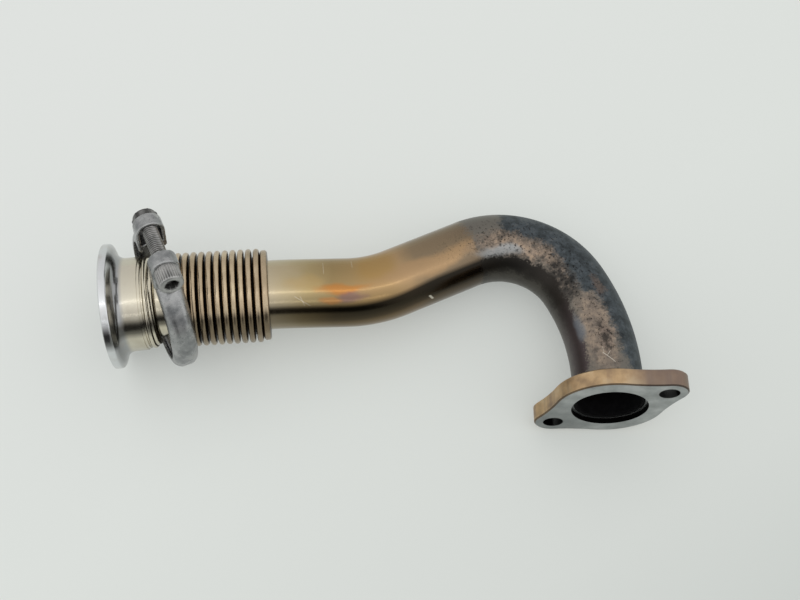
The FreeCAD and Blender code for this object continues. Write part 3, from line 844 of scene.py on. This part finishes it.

# %% [markdown]
# The clamp is cold-formed steel with a dull zinc-grey skin, mottled and pitted. Shade is
# painted darker in the hollows, and the edges are lighter, part rubbed wear and part painted
# highlight. The mesh can tell both apart, because Pointiness is low in a hollow and high on
# an edge.

# %% Zinc-grey formed steel of the clamp
def zinc_grey(name, dark, middle, light, rough, valleys=None):
    """Dull grey, with shade painted in the valleys of a thread where a bolt's axis is given."""
    material, tree, shader = new_material(name)
    place = add(tree, "TexCoord").outputs["Object"]
    cloud = add(tree, "TexNoise", {"Vector": place, "Scale": 1 / (6 * MM), "Detail": 7.0, "Roughness": 0.6})
    tint = add(tree, "ValToRGB", {0: cloud}, stops=[(0.3, dark), (0.5, middle), (0.72, light)])
    speck = add(tree, "TexNoise", {"Vector": place, "Scale": 1 / (0.9 * MM), "Detail": 4.0, "Roughness": 0.7})
    pits = add(tree, "MapRange", {"Value": speck, "From Min": 0.6, "From Max": 0.68})
    colour = cover(tree, tint, pits, "#2e2e2e", 0.75)
    curve = add(tree, "NewGeometry").outputs["Pointiness"]
    # Painted shade: darker in the hollows.
    hollow_shade = add(tree, "MapRange", {"Value": curve, "From Min": 0.492, "From Max": 0.455})
    colour = cover(tree, colour, hollow_shade, "#262625", 0.8)
    # Lighter on sharp edges: part rubbed wear, part painted highlight.
    edge_mask = add(tree, "MapRange", {"Value": curve, "From Min": 0.52, "From Max": 0.57})
    colour = cover(tree, colour, edge_mask, "#cfcfcd", 0.6)
    if valleys:
        # Painted shade: darker in the valleys of the thread.
        beside = from_axis(tree, place, *valleys)[1]
        valley_shade = add(tree, "MapRange", {"Value": beside, "From Min": SHANK_R - 0.12, "From Max": SHANK_R - 0.4})
        colour = cover(tree, colour, valley_shade, "#2b2a29", 0.5)
    tree.links.new(colour.outputs[2], shader.inputs["Base Color"])
    shader.inputs["Metallic"].default_value = 0.9
    level = add(tree, "MapRange", {"Value": cloud, "To Min": rough - 0.08, "To Max": rough + 0.12})
    tree.links.new(level.outputs[0], shader.inputs["Roughness"])
    bump = add(tree, "Bump", {"Height": cloud, "Strength": 0.25, "Distance": 0.3 * MM})
    hollow = add(tree, "Math", {0: 1.0, 1: pits}, operation="SUBTRACT")
    bump = add(tree, "Bump", {"Height": hollow, "Strength": 0.35, "Distance": 0.1 * MM, "Normal": bump})
    tree.links.new(bump.outputs[0], shader.inputs["Normal"])
    return material


band.data.materials.append(zinc_grey("zinc_grey_formed_steel", "#6f7172", "#969797", "#b1b1b0", 0.25))
dull = zinc_grey(
    "dull_zinc_bolt_steel", "#595958", "#8c8b89", "#b3b1ae", 0.34, valleys=(bolt_centre, bolt_direction),
)
bolt.data.materials.append(dull)
nut.data.materials.append(dull)
print("clamp materials:", band.data.materials[0].name, "and", dull.name)

# %% [markdown]
# The bolt flange was cut from plate. Its joint face was ground flat against a gasket and is
# satin grey, while heat has turned its edge and back a brassy gold with dark runs across.
# The face is told from the edge by where the surface points, and shade is painted as a dark
# line on the narrow round between the two.

# %% Ground and heat-stained steel of the bolt flange
BOLT_SPAN = mounts["flange_bolts"]["dims"]["pcd_mm"]


def find_bolt_holes():
    """The plate is longest along the line of its bolts, so its points spread most that way."""
    axis = np.linalg.eigh(np.cov(points_of("bolt_flange").T))[1][:, 2]
    step = Vector(axis) * BOLT_SPAN / 2
    return sorted((flange_centre - step, flange_centre + step), key=lambda hole: hole.x)


left_hole, right_hole = find_bolt_holes()
print("bolt holes at", [[round(c, 1) for c in hole] for hole in (left_hole, right_hole)], "mm")


def flange_steel():
    """The face, the edge, the line between them, the holes and the bore."""
    material, tree, shader = new_material("ground_plate_steel")
    place = add(tree, "TexCoord").outputs["Object"]
    along = from_axis(tree, place, flange_centre, flange_out)[0]
    normal = add(tree, "NewGeometry").outputs["Normal"]
    facing = add(tree, "VectorMath", {0: normal, 1: tuple(flange_out)}, operation="DOT_PRODUCT").outputs["Value"]
    face = add(tree, "MapRange", {"Value": facing, "From Min": 0.75, "From Max": 0.95})
    corner = add(tree, "MapRange", {"Value": facing, "From Min": 0.15, "From Max": 0.4})
    edge_mask = add(tree, "Math", {0: 1.0, 1: face}, operation="SUBTRACT")
    corner = add(tree, "Math", {0: corner, 1: edge_mask}, operation="MULTIPLY")
    cloud = add(tree, "TexNoise", {"Vector": place, "Scale": 1 / (7 * MM), "Detail": 6.0})
    satin = add(tree, "ValToRGB", {0: cloud}, stops=[(0.3, "#919493"), (0.5, "#a5a8a7"), (0.7, "#b8bab9")])
    beside = from_axis(tree, place, left_hole, flange_out)[1]
    near_left = add(tree, "MapRange", {"Value": beside, "From Min": 22.0, "From Max": 10.0})
    satin = cover(tree, satin, near_left, "#6f7372", 0.5)
    brass = add(tree, "ValToRGB", {0: cloud}, stops=[(0.32, "#9c8468"), (0.5, "#bea17c"), (0.68, "#cdb592")])
    squeezed = add(tree, "VectorMath", {0: place, 1: tuple(flange_out)}, operation="DOT_PRODUCT").outputs["Value"]
    drop = add(tree, "VectorMath", {0: tuple(flange_out), "Scale": squeezed}, operation="SCALE")
    flattened = add(tree, "VectorMath", {0: place, 1: drop.outputs["Vector"]}, operation="SUBTRACT")
    runs = add(tree, "TexNoise", {"Vector": flattened.outputs["Vector"], "Scale": 1 / (6 * MM), "Detail": 4.0})
    run_mask = add(tree, "MapRange", {"Value": runs, "From Min": 0.5, "From Max": 0.72})
    edge_colour = cover(tree, brass, run_mask, "#77635c", 0.7)
    beside = from_axis(tree, place, right_hole, flange_out)[1]
    near_right = add(tree, "MapRange", {"Value": beside, "From Min": 24.0, "From Max": 12.0})
    edge_colour = cover(tree, edge_colour, near_right, "#776862", 0.8)
    colour = cover(tree, edge_colour, face, satin)
    # Painted shade: a dark line on the narrow round between face and edge.
    colour = cover(tree, colour, corner, "#3f3b38", 0.75)
    inside = facing_in(tree, place, flange_centre, flange_out, along)
    for hole in (left_hole, right_hole):
        beside = from_axis(tree, place, hole, flange_out)[1]
        in_hole = add(tree, "MapRange", {"Value": beside, "From Min": 4.75, "From Max": 4.6})
        colour = cover(tree, colour, in_hole, "#4a4b4a")
    colour = cover(tree, colour, inside, "#0c0b0b")
    tree.links.new(colour.outputs[2], shader.inputs["Base Color"])
    shader.inputs["Metallic"].default_value = 1.0
    grain = add(tree, "TexNoise", {"Vector": place, "Scale": 1 / (0.7 * MM), "Detail": 4.0})
    level = add(tree, "MapRange", {"Value": grain, "To Min": 0.34, "To Max": 0.5})
    level = add(tree, "Mix", {FACTOR: inside, 2: level, 3: 0.85}, data_type="FLOAT")
    tree.links.new(level.outputs[0], shader.inputs["Roughness"])
    bump = add(tree, "Bump", {"Height": grain, "Strength": 0.15, "Distance": 0.08 * MM})
    tree.links.new(bump.outputs[0], shader.inputs["Normal"])
    return material


dress("bolt_flange", flange_steel())

# %% [markdown]
# The pipe lies on a wide pale sheet. Its tone is painted a shade lighter at the upper left,
# as the light of the window. The shadows in the photograph are very soft, so a share of the
# paper's tone is its own glow. Light Path lets the camera and reflections see that glow, while
# it adds no light to the pipe.

# %% Lay the floor
FLOOR_HALF = 12.0
PAPER_GLOW = 0.4

floor_mesh = bpy.data.meshes.new("pale_floor")
corners = [(-1, -1, 0), (1, -1, 0), (1, 1, 0), (-1, 1, 0)]
floor_mesh.from_pydata([tuple(FLOOR_HALF * c for c in corner) for corner in corners], [], [(0, 1, 2, 3)])
floor = bpy.data.objects.new("pale_floor", floor_mesh)
bpy.context.scene.collection.objects.link(floor)


def matt_paper():
    """Paper lit partly by the lamps and partly by its own glow."""
    material, tree, shader = new_material("matt_paper")
    place = add(tree, "TexCoord").outputs["Object"]
    # Painted light: the tone is lighter towards the upper left, as the window's light.
    slope = add(tree, "VectorMath", {0: place, 1: (0.45, -0.89, 0)}, operation="DOT_PRODUCT").outputs["Value"]
    share = add(tree, "MapRange", {"Value": slope, "From Min": -0.24, "From Max": 0.26})
    tone = add(tree, "ValToRGB", {0: share}, stops=[
        (0.0, "#dfe2df"), (0.5, "#dce0dc"), (0.75, "#d5d9d5"), (1.0, "#c3c8c4"),
    ])
    rays = add(tree, "LightPath")
    seen = add(tree, "Math", {0: rays.outputs["Is Camera Ray"], 1: rays.outputs["Is Glossy Ray"]}, operation="ADD")
    glow = add(tree, "Math", {0: seen, 1: PAPER_GLOW}, operation="MULTIPLY")
    lit = add(tree, "VectorMath", {0: tone.outputs[0], "Scale": 1 - PAPER_GLOW}, operation="SCALE")
    tree.links.new(lit.outputs[0], shader.inputs["Base Color"])
    tree.links.new(tone.outputs[0], shader.inputs["Emission Color"])
    tree.links.new(glow.outputs[0], shader.inputs["Emission Strength"])
    shader.inputs["Roughness"].default_value = 1.0
    shader.inputs["Specular IOR Level"].default_value = 0.0
    return material


floor.data.materials.append(matt_paper())
print("floor:", 2 * FLOOR_HALF, "m wide")

# %% [markdown]
# Bright metal looks like what it reflects, so the light is a room and not a lamp: a pale
# ceiling and a darker stretch low on the near side, where the photographer stands. That dark
# stretch, with a dark reflection painted along the low side, draws the long dark bands on the
# tube. Two narrow strips draw the thin highlights.
# The far window gives the shadow its direction, and it is hidden from reflections, because
# it would show as a hard patch.

# %% Light the room
world = bpy.data.worlds.new("room")
bpy.context.scene.world = world
world.use_nodes = True
sky = world.node_tree
sky.nodes.clear()
direction = add(sky, "TexCoord").outputs["Generated"]
parts = add(sky, "SeparateXYZ", {0: direction})
share = add(sky, "MapRange", {"Value": parts.outputs["Y"], "From Min": -1.0, "From Max": 1.0})
room = add(sky, "ValToRGB", {0: share}, stops=[
    (0.0, 0.03), (0.025, 0.04), (0.05, 0.3), (0.09, 0.45), (0.22, 0.74), (0.37, 0.98), (0.55, 0.8), (1.0, 0.6),
])
glow = add(sky, "Background", {"Color": room, "Strength": 1.25})
add(sky, "OutputWorld", {"Surface": glow.outputs[0]})


def soft_panel(name, direction, distance, size, brightness):
    """A panel aimed at the part, whose brightness is that of a white wall in full light at 1."""
    lamp = bpy.data.lights.new(name, "AREA")
    lamp.shape = "RECTANGLE"
    lamp.size, lamp.size_y = size
    lamp.energy = brightness * math.pi * size[0] * size[1]
    panel = bpy.data.objects.new(name, lamp)
    panel.location = Vector(direction).normalized() * distance
    panel.rotation_euler = (-panel.location).to_track_quat("-Z", "Y").to_euler()
    bpy.context.scene.collection.objects.link(panel)
    print(name, "gives", round(lamp.energy, 2), "W")
    return panel


window = soft_panel("far_window", (-0.2, 0.5, 0.85), 2.2, (2.4, 1.6), 0.25)
window.visible_glossy = False
soft_panel("upper_strip", (0.0, -0.244, 0.970), 1.4, (1.4, 0.05), 1.8)
soft_panel("lower_strip", (0.0, -0.72, 0.693), 1.4, (1.2, 0.04), 1.5)

# %% [markdown]
# The camera stands over the near side and looks down at the part, as the photograph does.
# The place and the aim are in metres in the part's own frame, and the lens is a normal one.

# %% Set the camera
CAMERA_PLACE = Vector((-0.01206, -0.1869, 0.5438))
CAMERA_AIM = Vector((0.00684, 0.0210, 0.0))
CAMERA_RIGHT = Vector((0.99588, -0.09063, 0.0))

ahead = (CAMERA_AIM - CAMERA_PLACE).normalized()
right = (CAMERA_RIGHT - ahead * CAMERA_RIGHT.dot(ahead)).normalized()
upward = right.cross(ahead)
camera_data = bpy.data.cameras.new("camera")
camera_data.lens = 54
camera_data.sensor_width = 36
camera_data.clip_start = 0.01
camera = bpy.data.objects.new("camera", camera_data)
turned = Matrix((right, upward, -ahead)).transposed().to_4x4()
camera.matrix_world = Matrix.Translation(CAMERA_PLACE) @ turned
bpy.context.scene.collection.objects.link(camera)
bpy.context.scene.camera = camera
bpy.context.scene.view_settings.view_transform = "Standard"
print("the camera looks down", round(math.degrees(math.asin(-ahead.z)), 1), "degrees")
